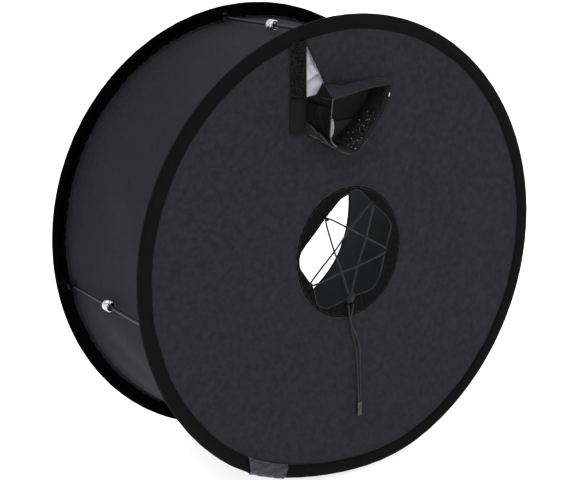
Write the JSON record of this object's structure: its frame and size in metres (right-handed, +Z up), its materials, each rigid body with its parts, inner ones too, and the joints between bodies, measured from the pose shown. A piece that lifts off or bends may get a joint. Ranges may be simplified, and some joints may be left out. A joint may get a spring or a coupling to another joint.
{
  "type": "collapsible ring flash softbox",
  "caption": "Collapsible drum softbox for a camera flash: two sprung hoops, a lens tunnel with a laced collar, a flash port and fold-away struts.",
  "frame": {"origin": "centre of the lens collar, in the rear rim's outer plane", "axes": "+Y along the drum's axis from the viewer's side to the front diffuser, +Z up to the flash port, +X to the viewer's right"},
  "size_m": [0.46, 0.2149, 0.46],
  "materials": {
    "panel_cloth": "matt woven polyester, near black with a violet cast",
    "rim_tape": "black binding tape, fine rib",
    "silver_cloth": "silver-coated lining cloth, soft metallic sheen",
    "diffuser_cloth": "white translucent nylon",
    "tunnel_cloth": "flat black cloth",
    "nylon_cloth": "black coated nylon with a slight gloss",
    "hook_tape": "black hook tape",
    "loop_pile": "black loop pile",
    "patch_cloth": "glossy wrinkled dark grey coated cloth",
    "elastic_cord": "dark grey braided elastic",
    "spring_steel": "blued flat spring steel",
    "strut_paint": "satin dark grey",
    "sleeve_metal": "bright nickel, knurled",
    "bracket_plastic": "black moulded nylon",
    "pin_steel": "dark steel",
    "clamp_metal": "dark nickel"
  },
  "bodies": {
    "root": {"rear_hoop_spring": "spring_steel", "rear_hoop_splice": "pin_steel", "rear_rim_casing": "rim_tape", "rim_patch": "patch_cloth", "rear_panel": "panel_cloth", "rear_lining": "silver_cloth", "side_wall": "panel_cloth", "side_wall_lining": "silver_cloth", "lens_tunnel": "tunnel_cloth", "port_gusset": "nylon_cloth", "port_hood": "panel_cloth", "port_loop_band": "loop_pile", "port_strap": "nylon_cloth", "port_inner_leaves": "tunnel_cloth", "port_hook_strip": "hook_tape", "port_silver_fold": "silver_cloth", "lens_collar_hem": "rim_tape", "lens_collar_band": "tunnel_cloth", "lace_rings": "pin_steel", "star_lace": "elastic_cord", "lace_knot": "elastic_cord", "lace_tail_a": "elastic_cord", "lace_tail_b": "elastic_cord", "tail_clamp": "clamp_metal", "rear_pivot_pins": "pin_steel", "rear_bracket_1": "bracket_plastic", "rear_bracket_2": "bracket_plastic", "rear_bracket_3": "bracket_plastic", "rear_bracket_4": "bracket_plastic"},
    "front_frame": {"front_hoop_spring": "spring_steel", "front_hoop_splice": "pin_steel", "front_rim_casing": "rim_tape", "front_diffuser": "diffuser_cloth", "front_opening_hem": "rim_tape", "front_pivot_pins": "pin_steel", "front_bracket_1": "bracket_plastic", "front_bracket_2": "bracket_plastic", "front_bracket_3": "bracket_plastic", "front_bracket_4": "bracket_plastic"},
    "strap_end": {"port_strap_end": "hook_tape"},
    "rear_rod_1": {"rear_rod_1": "strut_paint"},
    "front_rod_1": {"front_rod_1": "strut_paint", "strut_sleeve_1": "sleeve_metal"},
    "rear_rod_2": {"rear_rod_2": "strut_paint"},
    "front_rod_2": {"front_rod_2": "strut_paint", "strut_sleeve_2": "sleeve_metal"},
    "rear_rod_3": {"rear_rod_3": "strut_paint"},
    "front_rod_3": {"front_rod_3": "strut_paint", "strut_sleeve_3": "sleeve_metal"},
    "rear_rod_4": {"rear_rod_4": "strut_paint"},
    "front_rod_4": {"front_rod_4": "strut_paint", "strut_sleeve_4": "sleeve_metal"}
  },
  "joints": [
    {"name": "collapse", "type": "slide", "parent": "root", "child": "front_frame", "axis": [0, -1, 0], "range_m": [0, 0.15], "deforming": ["side_wall", "side_wall_lining", "lens_tunnel"]},
    {"name": "rear_rod_1_fold", "type": "hinge", "parent": "root", "child": "rear_rod_1", "pos_m": [-0.03598, 0.012, 0.21151], "axis": [0.165, 0, -0.9863], "range_deg": [0, 90]},
    {"name": "front_rod_1_fold", "type": "hinge", "parent": "front_frame", "child": "front_rod_1", "pos_m": [-0.03598, 0.1705, 0.21151], "axis": [0.165, 0, -0.9863], "range_deg": [0, 90]},
    {"name": "rear_rod_2_fold", "type": "hinge", "parent": "root", "child": "rear_rod_2", "pos_m": [-0.21501, 0.012, -0.03948], "axis": [0.9863, 0, 0.165], "range_deg": [0, 90]},
    {"name": "front_rod_2_fold", "type": "hinge", "parent": "front_frame", "child": "front_rod_2", "pos_m": [-0.21501, 0.1705, -0.03948], "axis": [0.9863, 0, 0.165], "range_deg": [0, 90]},
    {"name": "rear_rod_3_fold", "type": "hinge", "parent": "root", "child": "rear_rod_3", "pos_m": [0.03598, 0.012, -0.21851], "axis": [-0.165, 0, 0.9863], "range_deg": [0, 90]},
    {"name": "front_rod_3_fold", "type": "hinge", "parent": "front_frame", "child": "front_rod_3", "pos_m": [0.03598, 0.1705, -0.21851], "axis": [-0.165, 0, 0.9863], "range_deg": [0, 90]},
    {"name": "rear_rod_4_fold", "type": "hinge", "parent": "root", "child": "rear_rod_4", "pos_m": [0.21501, 0.012, 0.03248], "axis": [-0.9863, 0, -0.165], "range_deg": [0, 90]},
    {"name": "front_rod_4_fold", "type": "hinge", "parent": "front_frame", "child": "front_rod_4", "pos_m": [0.21501, 0.1705, 0.03248], "axis": [-0.9863, 0, -0.165], "range_deg": [0, 90]},
    {"name": "strap_peel", "type": "hinge", "parent": "root", "child": "strap_end", "pos_m": [-0.0528, 0.0005, 0.1375], "axis": [0, 0, 1], "range_deg": [0, 90]}
  ],
  "couplings": [
    {"joint": "rear_rod_1_fold", "follows": "collapse", "rad_per_m": 10.47},
    {"joint": "front_rod_1_fold", "follows": "collapse", "rad_per_m": 10.47},
    {"joint": "rear_rod_2_fold", "follows": "collapse", "rad_per_m": 10.47},
    {"joint": "front_rod_2_fold", "follows": "collapse", "rad_per_m": 10.47},
    {"joint": "rear_rod_3_fold", "follows": "collapse", "rad_per_m": 10.47},
    {"joint": "front_rod_3_fold", "follows": "collapse", "rad_per_m": 10.47},
    {"joint": "rear_rod_4_fold", "follows": "collapse", "rad_per_m": 10.47},
    {"joint": "front_rod_4_fold", "follows": "collapse", "rad_per_m": 10.47}
  ]
}
